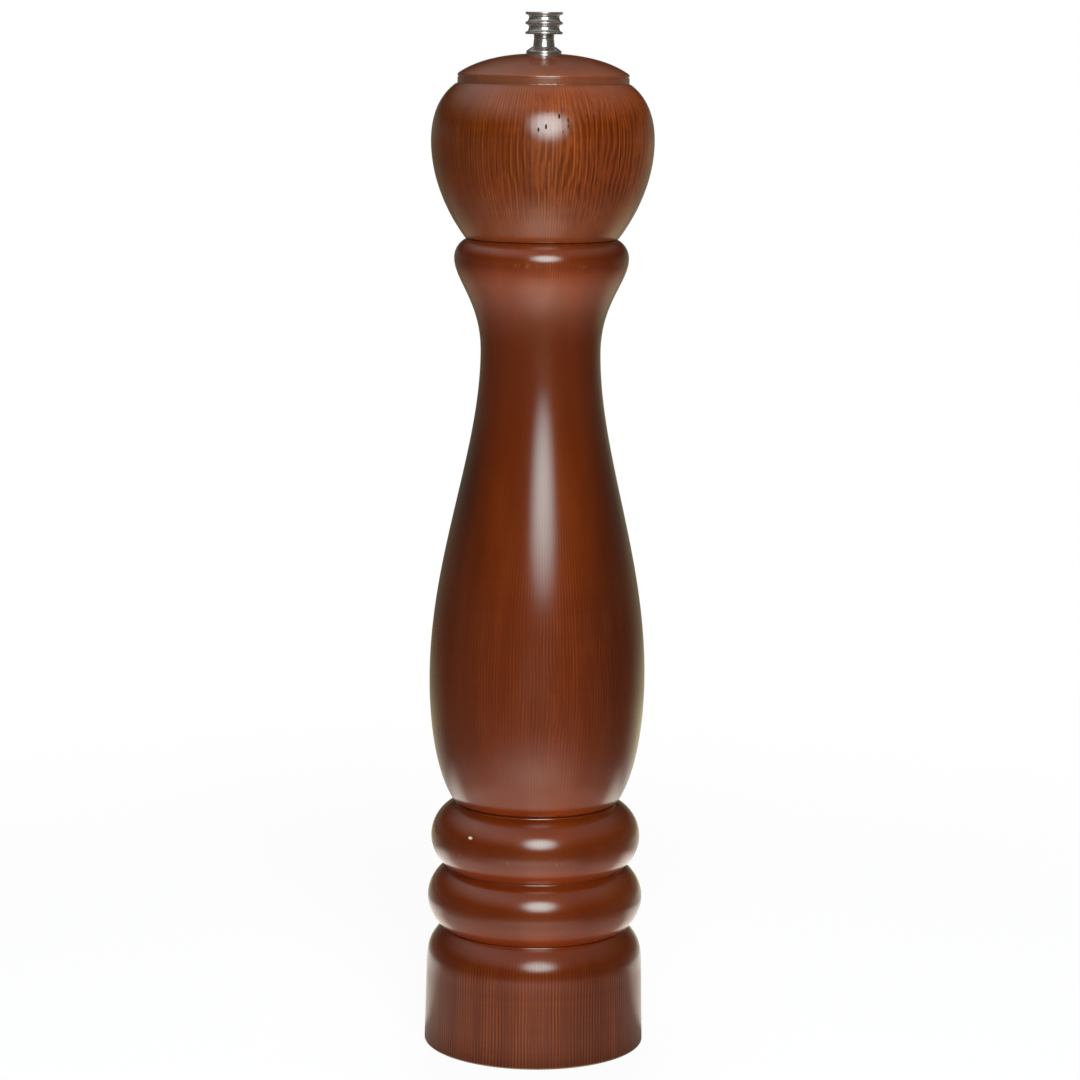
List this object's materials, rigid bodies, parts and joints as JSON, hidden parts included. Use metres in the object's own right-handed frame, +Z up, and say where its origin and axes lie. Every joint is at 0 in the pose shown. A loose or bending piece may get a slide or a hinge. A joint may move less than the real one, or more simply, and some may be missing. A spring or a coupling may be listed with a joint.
{
  "type": "pepper mill",
  "caption": "Tall turned wooden pepper mill with a beaded foot, waisted neck, ball head and chromed finial nut; turning the head drives a sprung steel burr inside.",
  "frame": {"origin": "on the mill's axis, at the foot's resting face", "axes": "+Z up along the axis, from the foot to the finial nut; the bridge strap lies along X"},
  "size_m": [0.0654, 0.0654, 0.3051],
  "materials": {
    "wood": "reddish-brown stain under gloss lacquer",
    "chrome": "polished chrome plate",
    "nylon": "natural nylon",
    "burr_steel": "hardened dark steel",
    "steel": "zinc-plated steel"
  },
  "bodies": {
    "mill_body": {"body": "wood", "stator": "burr_steel", "bridge": "steel", "bridge_bush": "nylon", "retaining_ring": "steel", "retaining_screws": "steel"},
    "spindle": {"thrust_washer": "steel", "spring": "steel"},
    "shaft_and_burr": {"shaft": "steel", "rotor": "burr_steel", "rotor_washer": "steel", "rotor_nut": "steel", "spring_seat": "steel", "shaft_clip": "steel"},
    "turning_head": {"head": "wood", "drive_plate": "steel", "drive_plate_screws": "steel", "head_bush": "nylon"},
    "nut_washer": {"cap_washer": "chrome"},
    "finial": {"adjusting_nut": "chrome"}
  },
  "joints": [
    {"name": "mill_turn", "type": "hinge", "parent": "mill_body", "child": "spindle", "pos_m": [0, 0, 0.24], "axis": [0, 0, 1], "continuous": true},
    {"name": "shaft_lift", "type": "slide", "parent": "spindle", "child": "shaft_and_burr", "axis": [0, 0, 1], "range_m": [0, 0.0014], "deforming": ["spring"]},
    {"name": "head_lift", "type": "slide", "parent": "spindle", "child": "turning_head", "axis": [0, 0, 1], "range_m": [0, 0.085]},
    {"name": "nut_lift", "type": "slide", "parent": "turning_head", "child": "nut_washer", "axis": [0, 0, 1], "range_m": [0, 0.02]},
    {"name": "nut_turn", "type": "hinge", "parent": "nut_washer", "child": "finial", "pos_m": [0, 0, 0.3], "axis": [0, 0, -1], "range_deg": [0, 720]}
  ],
  "couplings": [
    {"joint": "nut_turn", "follows": "shaft_lift", "rad_per_m": 8975.9}
  ]
}
